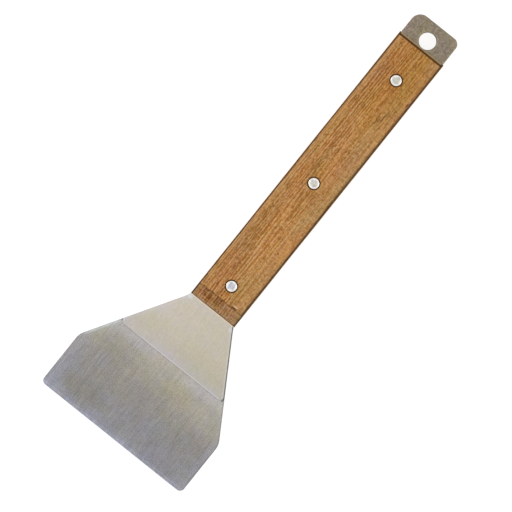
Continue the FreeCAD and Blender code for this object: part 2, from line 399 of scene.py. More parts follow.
def makePlateSteel(look, shape):
    steel = Finish("plateSteel")
    woodFront, woodRear, front = upperScale["low"].y, upperScale["high"].y, plate["low"].y
    fromHole = steel.distance(0, shape["holePlace"])
    right = steel.rightHalf()
    colour = steel.along((steel.y - woodFront) / (front - woodFront), look["stops"])
    rightSide = steel.step(steel.x, *look["rightFrom"])
    colour = steel.blend(rightSide, colour, look["rightTint"], "MULTIPLY")
    tail = steel.step(steel.y, woodRear - look["tailFade"], woodRear)
    colour = steel.blend(tail, colour, look["tailColour"])
    # painted light: lighter on the tail just behind the wood, where the wood's step casts shade
    near = tail * steel.fade(steel.y, *[woodRear + width for width in look["tailNear"]])
    ring = steel.band(fromHole, *look["holeRing"])
    colour = steel.shade(colour, 1 + near * look["tailNearGain"] + ring * look["holeRingGain"])
    mottle = steel.layers(look["mottle"])
    fuzz = steel.layers(look["tailFuzz"], look["tailShift"]) * tail
    for shift, pair in look["tints"]:
        tint = steel.layers(look["tintLayers"], shift) * (1 + tail * look["tailTint"]) + 0.5
        colour = steel.tinted(colour, tint, pair)
    colour = steel.shade(colour, 1 + mottle + fuzz)

    # painted highlights: a warm bright strip on the steel at the wood's foot, pale patches at the neck's
    # corners and a pale band along the front rim
    width, soft, strength = look["footHighlight"]
    footGleam = steel.band(steel.y, woodFront - width, woodFront, soft) * strength
    colour = steel.blend(footGleam, colour, look["footHighlightColour"])
    rim = steel.fade(steel.y, *[front + width for width in look["rimWidth"]])
    pale = rim * steel.grown(steel.step(steel.x, *look["rimFrom"]), look["rimStrength"])
    pale = steel.withSpots(pale, look["neckSpots"])

    # painted highlight along the flared sides, cooler on the left, and painted shade in a fine dark line on
    # the right
    ahead = steel.fade(steel.y, woodFront - look["sideFade"], woodFront)
    inside = steel.insideHead(shape)
    beside = steel.fade(inside, *look["leftTintWidth"]) * ahead * (1 - right)
    colour = steel.tinted(colour, beside, look["leftTint"])
    sides = steel.band(inside, *look["sidePale"]) * ahead
    pale = steel.larger(pale, sides * steel.grown(right, look["sidePaleStrength"]))
    colour = steel.blend(pale, colour, look["steelHighlightColour"])
    line = steel.band(inside, *look["sideLine"]) * ahead * right
    line = line * steel.grown(mottle, look["sideLineStrength"])

    # painted shade: dark at the foot of the wood, at the brim of the hang hole and in a few spots
    width, soft, strength = look["footShadow"]
    line = steel.larger(line, steel.band(steel.y, woodFront - width, woodFront, soft) * strength)
    brim = steel.band(fromHole, *look["holeShade"])
    line = steel.larger(line, brim * steel.grown(right, look["holeShadeStrength"]))
    line = steel.withSpots(line, look["darkSpots"])
    colour = steel.blend(line, colour, look["steelShadeColour"])
    roughness = steel.total(look["roughness"], (mottle, fuzz, tail), look["roughnessShares"])
    relief = mottle + fuzz * look["fuzzRelief"]
    return steel.surface(
        {"Metallic": 1.0},
        {"Base Color": colour, "Roughness": roughness, "Normal": steel.bump(relief, *look["relief"])},
    )


# The thin blade: brushed along the tool, darker and cooler towards its ground edge.
bladeLook = {
    "stops": [
        # share of the way from the plate to the edge, colour; lighter near the plate, in part a painted
        # reflection
        (0.03, (0.452, 0.423, 0.370)),
        (0.18, (0.385, 0.365, 0.315)),
        (0.30, (0.350, 0.331, 0.284)),
        (0.43, (0.317, 0.298, 0.272)),
        (0.58, (0.294, 0.282, 0.263)),
        (0.80, (0.284, 0.277, 0.272)),
        (0.96, (0.302, 0.302, 0.334)),
    ],
    "groundWidth": (1.5 * mm, 2.4 * mm),
    "groundTint": (1.29, 1.31, 1.37),
    "steelHighlightColour": (0.62, 0.645, 0.655),
    "steelShadeColour": (0.12, 0.12, 0.125),
    "sidePale": (2.2 * mm, 4.4 * mm),
    "sidePaleStrength": 0.09,
    "leftPale": (0.5 * mm, 2.2 * mm),
    "leftPaleStrength": 0.68,
    "flareFade": 4 * mm,
    "sideLine": (0.15 * mm, 0.5 * mm, 0.25 * mm),
    "sideLineStrength": (0.12, 0.3),  # on the left, how much more on the right
    "roughness": 0.38,
    "roughnessShares": (0.25, 0.15),  # of the streaks and the fuzz
    "reliefShares": (0.5, -0.6),  # of the fuzz and the welds, beside the streaks
    "relief": (0.02 * mm, 0.5),
    "streaks": [
        ((0.30, 6, 2), 0.50, 2.0),
        ((0.8, 16, 3), 0.34, 1.0),
        ((2.6, 40, 8), 0.17, 1.0),
    ],
    "brushedTo": (-122 * mm, -96 * mm),
    "brushedStrength": (1.08, -0.28),  # near the edge, how much more near the plate
    "fuzzShift": 21,
    "fuzz": [
        ((0.50, 0.6, 0.50), 1.25, 2.0),
        ((2.0, 2.4, 2.0), 0.27, 1.0),
        ((11, 8, 11), 0.12, 1.0),
    ],
    "tintLayers": [
        ((1.3, 2.0, 1.3), 0.70, 2.0),
        ((9, 10, 9), 0.9, 1.0),
    ],
    "warmToCool": [(1.035, 0.995, 0.86), (0.98, 0.99, 1.14)],
    "greenToPink": [(0.96, 1.02, 0.98), (1.03, 0.97, 1.015)],
    "tintShifts": (7.7, 13.7),
    "tintMiddles": (0.5, 0.42),
    "tintSpots": [
        # place and size in millimetres, how much cooler
        ((13, -106), (14, 8), -0.32),
        ((-24, -95), (20, 6), 0.38),
        ((27, -95), (20, 6), 0.38),
        ((-34, -114), (14, 8), 0.22),
        ((-27, -137), (17, 9), -0.26),
        ((18, -130), (36, 14), 0.22),
        ((-50, -126), (12, 24), 0.55),
        ((50, -126), (8, 24), 0.40),
    ],
    "shades": [
        # place, size, how much lighter
        ((-26, -105), (16, 10), -0.07),
        ((30, -109), (14, 9), 0.06),
        ((34, -123), (14, 8), -0.06),
        ((-27, -136), (18, 9), -0.08),
        ((30, -143), (20, 6), -0.08),
        ((-50, -126), (12, 24), 0.08),
        ((18, -91), (64, 8), 0.03),
    ],
    "darkSpots": [
        # place, size, strength: painted shadow in the corners that the plate leaves open
        ((36.0, -91.3), (0.95, 2.1), 0.9),
        ((-36.2, -91.5), (0.9, 1.0), 0.6),
    ],
    "weldMarks": [(-22 * mm, -79 * mm), (22 * mm, -79 * mm), (-8 * mm, -70 * mm), (8 * mm, -70 * mm)],
    "weldRadius": 2.4 * mm,
    "weldRing": (0.85, 0.2),  # where the ring is and how wide, in radii
    "weldDepth": 0.3 * mm,
    "weldShade": 0.35,
}


def makeBladeSteel(look, shape):
    steel = Finish("bladeSteel")
    nearest, farthest = plate["low"].y, blade["low"].y
    colour = steel.along((steel.y - nearest) / (farthest - nearest), look["stops"])
    ground = steel.fade(steel.y, *[farthest + width for width in look["groundWidth"]])
    colour = steel.blend(ground, colour, look["groundTint"], "MULTIPLY")
    warmth, pinkness = [
        steel.layers(look["tintLayers"], shift) + middle
        for shift, middle in zip(look["tintShifts"], look["tintMiddles"])
    ]
    for place, size, change in look["tintSpots"]:
        warmth = warmth + steel.spot(place, size) * change
    colour = steel.tinted(colour, warmth, look["warmToCool"])
    colour = steel.tinted(colour, pinkness, look["greenToPink"])
    colour = steel.patched(colour, look["shades"])
    brushed = steel.grown(steel.step(steel.y, *look["brushedTo"]), look["brushedStrength"])
    streaks = steel.layers(look["streaks"]) * brushed
    fuzz = steel.layers(look["fuzz"], look["fuzzShift"])

    # painted highlight along its sides, palest on the left flare, and painted shade in a fine dark line
    inside, right = steel.insideHead(shape), steel.rightHalf()
    flareStart = farthest + shape["straightLength"]
    flared = steel.step(steel.y, flareStart, flareStart + look["flareFade"])
    sides = steel.fade(inside, *look["sidePale"]) * look["sidePaleStrength"]
    leftFlare = steel.fade(inside, *look["leftPale"]) * flared * (1 - right) * look["leftPaleStrength"]
    colour = steel.blend(steel.larger(sides, leftFlare), colour, look["steelHighlightColour"])
    line = steel.band(inside, *look["sideLine"]) * steel.grown(right, look["sideLineStrength"])
    colour = steel.blend(steel.withSpots(line, look["darkSpots"]), colour, look["steelShadeColour"])

    # round spot welds, only on the underside
    weld = 0
    ringAt, ringWidth = look["weldRing"]
    for place in look["weldMarks"]:
        away = steel.distance(*place) / look["weldRadius"]
        weld = steel.larger(steel.fade(abs(away - ringAt), 0.0, ringWidth), weld)
    weld = weld * steel.fade(steel.z, blade["low"].z, blade["low"].z + look["weldDepth"])
    colour = steel.shade(colour, 1 + streaks + fuzz - weld * look["weldShade"])
    roughness = steel.total(look["roughness"], (streaks, fuzz), look["roughnessShares"])
    relief = steel.total(streaks, (fuzz, weld), look["reliefShares"])
    return steel.surface(
        {"Metallic": 1.0},
        {"Base Color": colour, "Roughness": roughness, "Normal": steel.bump(relief, *look["relief"])},
    )


# Steel sheet as it is cut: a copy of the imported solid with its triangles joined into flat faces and
# its edges broken by a narrow round.
steelShape = {
    "edgeBreak": 0.12 * mm,
    "segments": 2,
    "sharpFrom": math.radians(30),
    "flatUpTo": math.radians(0.5),
}


def addSteel(name, node, shape, material):
    made = bpy.data.objects.new(name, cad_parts[node].data.copy())
    bpy.context.scene.collection.objects.link(made)
    mergeDoubles(made.data, samePoint, flatUpTo=shape["flatUpTo"])
    made.data.shade_smooth()
    broken = made.modifiers.new("edges", "BEVEL")
    broken.limit_method, broken.angle_limit = "ANGLE", shape["sharpFrom"]
    broken.width, broken.segments = shape["edgeBreak"], shape["segments"]
    flat = made.modifiers.new("normals", "WEIGHTED_NORMAL")
    flat.keep_sharp = True
    applyModifiers(made)
    settle(made, material, node)


# Oiled beech: fine straight grain along the handle, short dark dashes, edges darkened with painted shade.
woodLook = {
    "deepTone": (0.318, 0.119, 0.015),
    "paleTone": (0.610, 0.332, 0.126),
    "dashColour": (0.180, 0.062, 0.008),
    "woodShadeColour": (0.042, 0.018, 0.004),
    "wornColour": (0.34, 0.155, 0.040),
    "rearLineColour": (0.050, 0.018, 0.001),
    "seatShadeColour": (0.115, 0.050, 0.010),
    "edgeHighlightColour": (0.60, 0.355, 0.155),
    "rearColour": (0.42, 0.290, 0.145),
    "borderColour": (0.120, 0.045, 0.004),
    "smearColour": (0.33, 0.10, 0.012),
    "fleckColour": (0.17, 0.045, 0.016),
    "warmToCool": [(1.075, 0.99, 0.64), (0.925, 1.01, 1.40)],
    "greenToPink": [(0.91, 1.07, 0.93), (1.08, 0.93, 1.06)],
    "layers": [
        # sizes of the lumps in millimetres, how much they count, detail
        ((0.55, 16, 0.55), 0.70, 1.0),
        ((0.50, 1.2, 0.50), 1.78, 1.0),
        ((0.95, 3.0, 0.95), 0.85, 2.0),
        ((2.4, 2.2, 2.4), 0.28, 1.0),
        ((3.2, 70, 3.2), 0.22, 1.0),
    ],
    "rightFrom": (0 * mm, 10 * mm),  # where the paler right side begins and is full
    "contrast": (1.27, -0.38),  # on the left, how much more on the right, as in the next three
    "tone": (0.432, 0.109),
    "warmth": (0.49, 0.10),
    "pinkness": (0.5, -0.12),
    "lineSpacing": 1.66 * mm,
    "lineSpread": 0.15,
    "lineLean": 0.4,
    "lineWander": (5, 90, 5),
    "lineWanderBy": 3,  # in spacings
    "linePatches": (3.0, 16, 3.0),
    "lineLimits": (0.3, 0.65),
    "lineStrength": (0.09, 0.25),  # between the patches, how much more in them
    "lineRight": (1.0, -0.5),
    "tintLayers": [
        ((0.9, 2.0, 0.9), 1.5, 2.0),
        ((8, 30, 8), 1.05, 1.0),
    ],
    "warmRear": [(3, 108), (15, 45)],
    "warmRearBy": 0.42,
    "dashSize": (0.75, 6.5, 0.75),
    "dashRoughness": 0.45,
    "dashLimits": (0.57, 0.68),
    "dashStrength": (0.17, 0.53),  # outside the clouds, how much more in them
    "cloudSize": (9, 26, 9),
    "cloudLean": 8,
    "cloudLimits": (0.36, 0.62),
    "raySize": (2.6, 0.75, 2.6),
    "rayStrength": (0.55, 0.6),
    "patches": [
        # place and size in millimetres, how much lighter
        ((-5.3, 42), (2.0, 26), -0.10),
        ((1.0, 112), (18, 42), -0.13),
        ((8.0, -8), (10, 45), 0.05),
        ((-10, -22), (7, 34), -0.06),
        ((-3.5, 78), (5, 24), 0.07),
        ((3.5, 78), (5, 24), 0.06),
        ((1.0, -4), (9, 40), 0.08),
    ],
    "smearStrength": 0.45,
    "smears": [
        # place, size
        ((2.6, 28.6), (1.3, 5.0)),
        ((-2.2, 26.4), (0.7, 3.6)),
        ((-3.4, 69), (1.0, 6.0)),
    ],
    "fleckStrength": 0.9,
    "flecks": [
        ((13.4, 100.4), (0.7, 2.0)),
        ((8.9, -8.6), (1.0, 0.7)),
        ((-13.6, -46.0), (0.8, 0.8)),
        ((-1.2, -46.0), (0.8, 0.65)),
        ((3.5, -45.0), (0.65, 1.0)),
        ((-1.2, -43.4), (0.65, 0.65)),
        ((-7.4, -42.2), (0.5, 1.6)),
    ],
    "chipShadowStrength": 0.9,
    "chipShadows": [
        # place, size: painted shadow in chips on the crest of the slope
        ((8.8, -47.45), (2.3, 0.56)),
        ((-5.9, -47.8), (1.6, 0.40)),
    ],
    # painted highlight on the crest beside the first chip: place, size
    "chipHighlights": [((8.9, -46.5), (2.3, 0.58))],
    "chipHighlightColour": (0.74, 0.51, 0.29),
    "chipHighlightStrength": 0.75,
    "slopeDark": (0.180, 0.056, 0.001),
    "slopePale": (0.515, 0.288, 0.126),
    "slopeGrey": (0.480, 0.290, 0.150),
    "slopeFade": (-0.3 * mm, 0.1 * mm),
    "slopeTone": 0.48,
    "slopeRight": 0.08,
    "slopeLineWander": 300,
    "slopeLineStrength": 0.11,
    "greyTone": 0.2,
    "greyStrength": 0.6,
    "slopeTintMiddles": (0.43, 0.44),
    "slopeTints": [
        ((1.3, 1.8, 1.8), 1.9, 2.0),
        ((7, 12, 12), 1.5, 1.0),
    ],
    "slopeLayers": [
        ((0.65, 14, 14), 1.5, 1.0),
        ((0.45, 1.6, 1.6), 1.8, 1.0),
        ((4.5, 0.6, 0.6), 1.4, 1.0),
        ((5, 60, 60), 0.9, 0.0),
    ],
    "slopeShades": [
        # place, size, how much lighter
        ((0.0, -49.6), (60, 2.0), 0.16),
        ((0.0, -54.0), (60, 2.6), 0.18),
    ],
    "footColour": (0.54, 0.355, 0.215),
    "footFrom": (0.9 * mm, 2.8 * mm),
    "footStrength": (-0.2, 1.5),  # evenly, and with the end grain
    "footLine": (0.25 * mm, 0.6 * mm),
    "footLineStrength": 0.72,
    "wanderSize": (2.4, 40, 40),
    "borderWander": 0.9 * mm,
    "borderAhead": 0.2 * mm,
    "borderLine": (-0.25 * mm, 0.1 * mm, 0.5 * mm),
    "borderStrength": (0.92, -0.6),
    "seatRing": 0.35 * mm,
    "seatStrength": 0.9,
    "leftEdge": (14.5 * mm, 14.8 * mm),
    "rightEdge": (13.3 * mm, 14.8 * mm),
    "leftWorn": (15.12 * mm, 15.35 * mm),
    "rightWorn": (14.92 * mm, 15.25 * mm),
    "slopeEdges": (0.1 * mm, -0.4 * mm),  # how much wider the left and right edges are on the slope
    "edgeStrength": 0.92,
    "edgeDepth": (0.8 * mm, 1.7 * mm),
    "slopeWorn": (1.0, -0.8),  # behind the slope, how much more on it
    "leftBrim": (12.9 * mm, 14.1 * mm, 0.6 * mm),
    "rightBrim": (12.5 * mm, 13.1 * mm, 0.5 * mm),
    "rightBrimShare": 0.15,
    "brimStrength": 0.28,
    "rearLine": (1.90 * mm, 0.90 * mm, 0.22 * mm),
    "rearStrength": 0.9,
    "roughness": 0.56,
    "roughnessShares": (0.1, 0.1),  # of the dashes and the dark edges
    "reliefShares": (-0.6, 0.3),  # of the dashes and the rays, beside the grain
    "relief": (0.03 * mm, 0.5),
    "specular": 0.2,
}


# Each noise below has its own shift, so that no two are alike.
def makeWood(name, look, shape, shift):
    wood = Finish(name)
    rightward = wood.step(wood.x, *look["rightFrom"])
    leftX = 0 - wood.x

    # even fine lines along the grain, wider apart to the right
    across = wood.x + wood.z * look["lineLean"] - wood.larger(wood.x, 0.0) * look["lineSpread"]
    wander = wood.noise(look["lineWander"], detail=1, shift=shift + 5) * look["lineWanderBy"]
    strength = wood.step(wood.noise(look["linePatches"], detail=1, shift=shift + 6), *look["lineLimits"])
    lines = wood.maths("SINE", (across / look["lineSpacing"] + wander) * math.tau)
    lines = lines * wood.grown(strength, look["lineStrength"]) * wood.grown(rightward, look["lineRight"])

    # the grain's tone, its cross flecks and the short dark dashes, which gather in clouds
    grain = wood.layers(look["layers"], shift) + lines
    tone = grain * wood.grown(rightward, look["contrast"]) + wood.grown(rightward, look["tone"])
    ray = wood.noise(look["raySize"], detail=2, shift=shift + 9) - 0.5
    ray = ray * wood.grown(rightward, look["rayStrength"])
    cloud = wood.noise(look["cloudSize"], detail=2, shift=shift + 11)
    gather = wood.step(cloud - wood.x * look["cloudLean"], *look["cloudLimits"])
    dash = wood.noise(look["dashSize"], detail=2, roughness=look["dashRoughness"], shift=shift + 13)
    dash = wood.step(dash, *look["dashLimits"])
    colour = wood.blend(tone + ray, look["deepTone"], look["paleTone"])
    colour = wood.blend(dash * wood.grown(gather, look["dashStrength"]), colour, look["dashColour"])
    warmth = wood.layers(look["tintLayers"], shift + 15) + wood.grown(rightward, look["warmth"])
    warmth = warmth - wood.spot(*look["warmRear"]) * look["warmRearBy"]
    colour = wood.tinted(colour, warmth, look["warmToCool"])
    pinkness = wood.layers(look["tintLayers"], shift + 23) + wood.grown(rightward, look["pinkness"])
    colour = wood.tinted(colour, pinkness, look["greenToPink"])
    colour = wood.patched(colour, look["patches"])
    upper = wood.step(wood.z, middleZ - halfBlend, middleZ + halfBlend)
    colour = wood.marked(colour, look["smears"], upper * look["smearStrength"], look["smearColour"])
    colour = wood.marked(colour, look["flecks"], upper * look["fleckStrength"], look["fleckColour"])

    # the sloped front end: its end grain, its uneven upper border and its paler foot
    front = upperScale["low"].y
    borderWander = wood.noise(look["wanderSize"], detail=2, shift=shift + 17) - 0.5
    borderWander = borderWander * look["borderWander"]
    border = wood.y - borderWander - (front + shape["slopeLength"] + look["borderAhead"])
    slope = wood.fade(border, *look["slopeFade"])
    slopeLines = (wood.x / look["lineSpacing"] + borderWander * look["slopeLineWander"]) * math.tau
    stripe = wood.layers(look["slopeLayers"], shift + 19) + look["slopeTone"]
    stripe = stripe + wood.maths("SINE", slopeLines) * look["slopeLineStrength"]
    endGrain = wood.blend(stripe + rightward * look["slopeRight"], look["slopeDark"], look["slopePale"])
    grey = rightward * (stripe + look["greyTone"]) * look["greyStrength"]
    endGrain = wood.blend(grey, endGrain, look["slopeGrey"])
    warmth, pinkness = [
        wood.layers(look["slopeTints"], shift + further) + middle
        for further, middle in zip((25, 29), look["slopeTintMiddles"])
    ]
    endGrain = wood.tinted(endGrain, warmth, look["warmToCool"])
    endGrain = wood.tinted(endGrain, pinkness, look["greenToPink"])
    endGrain = wood.patched(endGrain, look["slopeShades"])
    paleFoot = wood.fade(wood.y, *[front + width for width in look["footFrom"]])
    paleFoot = paleFoot * wood.grown(stripe, look["footStrength"])
    endGrain = wood.blend(paleFoot, endGrain, look["footColour"])
    colour = wood.blend(slope, colour, endGrain)
    # a dark line along the crest: partly painted shade of its round, partly darker wood
    line = wood.band(border, *look["borderLine"]) * wood.grown(stripe, look["borderStrength"])
    colour = wood.blend(line, colour, look["borderColour"])
    # painted highlight beside a chip, and painted shadow in the chips on the crest
    colour = wood.marked(colour, look["chipHighlights"], upper * look["chipHighlightStrength"], look["chipHighlightColour"])
    colour = wood.marked(colour, look["chipShadows"], upper * look["chipShadowStrength"], look["woodShadeColour"])
    # painted shadow: a dark line along the foot of the slope, next to the steel
    foot = wood.fade(wood.y, *[front + width for width in look["footLine"]]) * look["footLineStrength"]
    colour = wood.blend(foot, colour, look["woodShadeColour"])

    # 1 near the outer surface, whose height is the lesser of the slope's line and the flat face
    thickness = upperScale["high"].z - upperScale["low"].z
    rise = (wood.y - front) * ((thickness - shape["lip"]) / shape["slopeLength"]) + shape["lip"]
    depth = wood.maths("MINIMUM", rise, thickness) - abs(wood.z - middleZ) + (upperScale["low"].z - middleZ)
    atFace = wood.fade(depth, *look["edgeDepth"])

    # there: painted shade on the rounded long edges, each with a painted highlight inside it, and a dark
    # line by the rear end
    brim = wood.band(wood.x, *look["rightBrim"]) * look["rightBrimShare"]
    brim = wood.larger(wood.band(leftX, *look["leftBrim"]), brim)
    colour = wood.blend(brim * atFace * look["brimStrength"], colour, look["edgeHighlightColour"])
    leftWider, rightWider = look["slopeEdges"]
    leftEdge = wood.step(leftX + slope * leftWider, *look["leftEdge"])
    rightEdge = wood.step(wood.x + slope * rightWider, *look["rightEdge"])
    edge = wood.larger(leftEdge, rightEdge) * atFace
    rearEnd = upperScale["high"].y
    nearInset, farInset, soft = look["rearLine"]
    rearLine = wood.band(wood.y, rearEnd - nearInset, rearEnd - farInset, soft) * atFace
    beyond = wood.step(wood.y, rearEnd - farInset, rearEnd - farInset + soft) * look["rearStrength"]
    colour = wood.blend(beyond, colour, wood.blend(atFace, endGrain, look["rearColour"]))
    colour = wood.blend(rearLine * look["edgeStrength"], colour, look["rearLineColour"])
    colour = wood.blend(edge * look["edgeStrength"], colour, look["woodShadeColour"])

    # painted shade around the rivet seats, and bare wood where the edges are worn
    for place in rivetRow:
        seat = wood.fade(wood.distance(0, place) - shape["seatRadius"], 0.0, look["seatRing"])
        colour = wood.blend(seat * look["seatStrength"], colour, look["seatShadeColour"])
    worn = wood.larger(wood.step(leftX, *look["leftWorn"]), wood.step(wood.x, *look["rightWorn"]))
    worn = worn * atFace * wood.grown(slope, look["slopeWorn"])
    colour = wood.blend(worn, colour, look["wornColour"])

    roughness = wood.total(look["roughness"], (dash, edge), look["roughnessShares"])
    relief = wood.total(grain, (dash, ray), look["reliefShares"])
    return wood.surface(
        {"Specular IOR Level": look["specular"]},
        {"Base Color": colour, "Roughness": roughness, "Normal": wood.bump(relief, *look["relief"])},
    )


# A wood scale, as a surface over its outer face that folds down over its edges to the tang. Its two
# parameters run in even steps over the flat, finer at the slope's crest, and in even angles round the rims.
scaleShape = {
    "slopeLength": 7.4 * mm,
    "lip": 0.8 * mm,
    "edgeRound": 1.0 * mm,
    "edgeWear": 0.12,
    "wearLength": 40 * mm,
    "mostWear": 0.85,  # of the height
    "crestRound": 0.3 * mm,
    "crestWander": 0.16 * mm,
    "crestLength": 9 * mm,
    "chipPlace": (8.2 * mm, 7.55 * mm),
    "chipSize": (3.2 * mm, 0.45 * mm),
    "chipDepth": 0.22 * mm,
    "grainDepth": 0.012 * mm,
    "grainSize": (2.2 * mm, 60 * mm),
    "sideWander": 0.025 * mm,
    "sideLength": 35 * mm,
    "step": 0.55 * mm,
    "fineStep": 0.12 * mm,
    "fineReach": 1 * mm,  # the fine steps go this far to either side of the crest
    "roundSteps": 8,
    "seatRadius": 3.675 * mm,
    "seatDepth": 1.25 * mm,
    "seatTurns": 96,
    "holeRadius": 2.25 * mm,
    "drillClear": 1 * mm,
}


def addScale(name, node, box, facing, shape, material, seed):
    half, length, thickness = box["high"].x, box["high"].y - box["low"].y, box["high"].z - box["low"].z
    edge, slopeLength = shape["edgeRound"], shape["slopeLength"]
    flatHalf, flatLength = half - edge, length - edge
    bend = np.linspace(0, math.pi / 2, shape["roundSteps"])[1:]
    flatX = np.linspace(-flatHalf, flatHalf, round(flatHalf * 2 / shape["step"]))
    x = np.concatenate([-flatHalf - edge * np.sin(bend[::-1]), flatX, flatHalf + edge * np.sin(bend)])
    bendX = np.concatenate([bend[::-1], 0 * flatX, bend])
    evenY = np.linspace(0, flatLength, round(flatLength / shape["step"]))
    reach = shape["fineReach"]
    crestY = np.arange(slopeLength - reach, slopeLength + reach, shape["fineStep"])
    flatY = np.unique(np.concatenate([evenY, crestY]).round(7))
    y = np.concatenate([flatY, flatLength + edge * np.sin(bend)])
    bendY = np.concatenate([0 * flatY, bend])
    x, y = np.meshgrid(x, y)
    bendX, bendY = np.meshgrid(bendX, bendY)

    # height: the lesser of the slope's line and the flat face, rounded where they meet,
    # less a chip on that crest and shallow grain, less a quarter ellipse down to each rim
    wander = shape["crestWander"] * unevenness(x, 0 * y, shape["crestLength"], 1.0, seed)
    wander = wander * np.clip(y / slopeLength, 0, 1)
    slope = shape["lip"] + (thickness - shape["lip"]) * (y + wander) / slopeLength
    nearCrest = np.maximum(shape["crestRound"] - np.abs(slope - thickness), 0)
    height = np.minimum(slope, thickness) - nearCrest ** 2 / (4 * shape["crestRound"])
    chipX = (x - shape["chipPlace"][0]) / shape["chipSize"][0]
    chipY = (y - shape["chipPlace"][1]) / shape["chipSize"][1]
    height = height - shape["chipDepth"] * np.exp(-chipX ** 4 - chipY ** 2)
    grain = np.clip(1 + unevenness(x, y, *shape["grainSize"], seed + 1), 0, 2)
    height = height - shape["grainDepth"] * grain
    wear = 1 + shape["edgeWear"] * unevenness(0 * x, y, 1.0, shape["wearLength"], seed + 2)
    drop = np.minimum(edge * wear, shape["mostWear"] * height)
    height = height - drop * (1 - np.cos(np.maximum(bendX, bendY)))
    narrower = np.clip(1 + unevenness(0 * x, y, 1.0, shape["sideLength"], seed + 3), 0, 2)
    x = x * (1 - shape["sideWander"] / half * narrower)

    # one more ring of points all round, straight down on the tang, and one face across it
    points = np.pad(np.stack([x, y, height], -1), ((1, 1), (1, 1), (0, 0)), "edge")
    points[[0, -1], :, 2] = 0
    points[:, [0, -1], 2] = 0
    rows, columns = points.shape[:2]
    number = np.arange(rows * columns).reshape(rows, columns)
    ring = np.concatenate([number[0, :-1], number[:-1, -1], number[-1, :0:-1], number[:0:-1, 0]])
    inner = box["low"].z if facing > 0 else box["high"].z
    points = points * (facing, 1, facing) + (0, box["low"].y, inner)
    made = addMesh(name, points, gridFaces(rows, columns) + [ring[::-1].tolist()])
    mergeDoubles(made.data, samePoint)
    drillSeats(made, thickness, facing, inner, shape)
    smooth(made.data)
    settle(made, material, node)


# Cuts the stepped rivet holes: a wide seat for the head and a narrow hole for the shank.
def drillSeats(scale, thickness, facing, inner, shape):
    seat, hole, clear = shape["seatRadius"], shape["holeRadius"], shape["drillClear"]
    top, floorZ = thickness + clear, thickness - shape["seatDepth"]
    profile = [(0, top), (seat, top), (seat, floorZ), (hole, floorZ), (hole, -clear), (0, -clear)]
    for place in rivetRow:
        drill = addTurned("drill", profile, shape["seatTurns"])
        drill.data.transform(Matrix.Rotation(0 if facing > 0 else math.pi, 4, "Y"))
        drill.data.transform(Matrix.Translation((0, place, inner)))
        cut = scale.modifiers.new("drill", "BOOLEAN")
        cut.operation, cut.solver, cut.object = "DIFFERENCE", "MANIFOLD", drill
        applyModifiers(scale)
        bpy.data.objects.remove(drill)
    mergeDoubles(scale.data, 2 * samePoint)


# Rivet metal: a bright turned rim, its brightness partly a painted highlight, about a slightly dull centre.
rivetLook = {
    "frontColour": (0.62, 0.62, 0.70),
    "rearColour": (0.63, 0.625, 0.57),
    "dullTint": (0.80, 0.82, 0.81),
    "rimColour": (0.97, 0.91, 0.85),
    "centreRadius": 2.2 * mm,
    "rimSoftness": 0.5 * mm,
    "rimWander": 1.7 * mm,
    "patchSize": (1.5, 1.5, 1.5),
    "patchLimits": (0.38, 0.66),
    "grainSize": (0.5, 0.5, 0.5),
    "grainStrength": 0.2,
    "markSpacing": 0.16 * mm,
    "markRelief": 0.3,
    "roughness": 0.3,
    "relief": (0.01 * mm, 0.6),
}


def makeRivetMetal(look):
    metal = Finish("rivetMetal")
    away = metal.distance(0, rivetRow[0])
    for place in rivetRow[1:]:
        away = metal.maths("MINIMUM", away, metal.distance(0, place))
    grain = metal.noise(look["grainSize"], detail=3) - 0.5
    worn = metal.noise(look["patchSize"], detail=1, shift=2.5)
    patch = metal.step(worn, *look["patchLimits"])
    reach = away - (worn - 0.5) * look["rimWander"]
    radius, soft = look["centreRadius"], look["rimSoftness"]
    rim = metal.step(reach, radius - soft, radius + soft)
    rearward = metal.step(metal.y, rivetRow[0], rivetRow[1])
    colour = metal.blend(rearward, look["frontColour"], look["rearColour"])
    colour = metal.blend(patch, colour, look["dullTint"], "MULTIPLY")
    colour = metal.blend(rim, colour, look["rimColour"])
    colour = metal.shade(colour, 1 + grain * look["grainStrength"])
    roughness = look["roughness"] + grain * look["grainStrength"]
    marks = metal.maths("SINE", away * (math.tau / look["markSpacing"]))
    relief = marks * look["markRelief"] + grain
    return metal.surface(
        {"Metallic": 1.0},
        {"Base Color": colour, "Roughness": roughness, "Normal": metal.bump(relief, *look["relief"])},
    )


# The two halves of a rivet: a flat head with a round edge and a shallow dish, on a shank that is
# hollow in the sleeve and solid in the post.
rivetShape = {
    "headHeight": 1.1 * mm,
    "edgeRound": 0.4 * mm,
    "bendSteps": 9,
    "underBevel": 0.02 * mm,
    "dishRadius": 2.1 * mm,
    "dishDepth": 0.07 * mm,
    "dishSteps": 12,
    "sleeveRadius": 2.2 * mm,
    "boreRadius": 1.6 * mm,
    "postRadius": 1.55 * mm,
    "footRound": 0.15 * mm,
    "turns": 96,
}


# Profile from the axis outwards and down: the dish rises to a flat by half a cosine, a quarter
# circle leads to the side, then the shank goes down and, where it has a bore, back up inside.
def rivetProfile(shape, headRadius, top, foot, shank, bore):
    dish = np.linspace(0, shape["dishRadius"], shape["dishSteps"])
    rise = shape["dishDepth"] * (1 + np.cos(math.pi * dish / shape["dishRadius"])) / 2
    profile = list(zip(dish, top - rise))
    edge, ease, bevel = shape["edgeRound"], shape["footRound"], shape["underBevel"]
    underside = top - shape["headHeight"]
    bend = np.linspace(0, math.pi / 2, shape["bendSteps"])
    profile += list(zip(headRadius - edge * (1 - np.sin(bend)), top - edge * (1 - np.cos(bend))))
    profile += [(headRadius, underside + bevel), (headRadius - bevel, underside)]
    profile += [(shank, underside), (shank, foot + ease), (shank - ease, foot)]
    if bore:
        profile += [(bore + ease, foot), (bore, foot + ease), (bore, underside)]
        return profile + [(0, underside)]
    return profile + [(0, foot)]


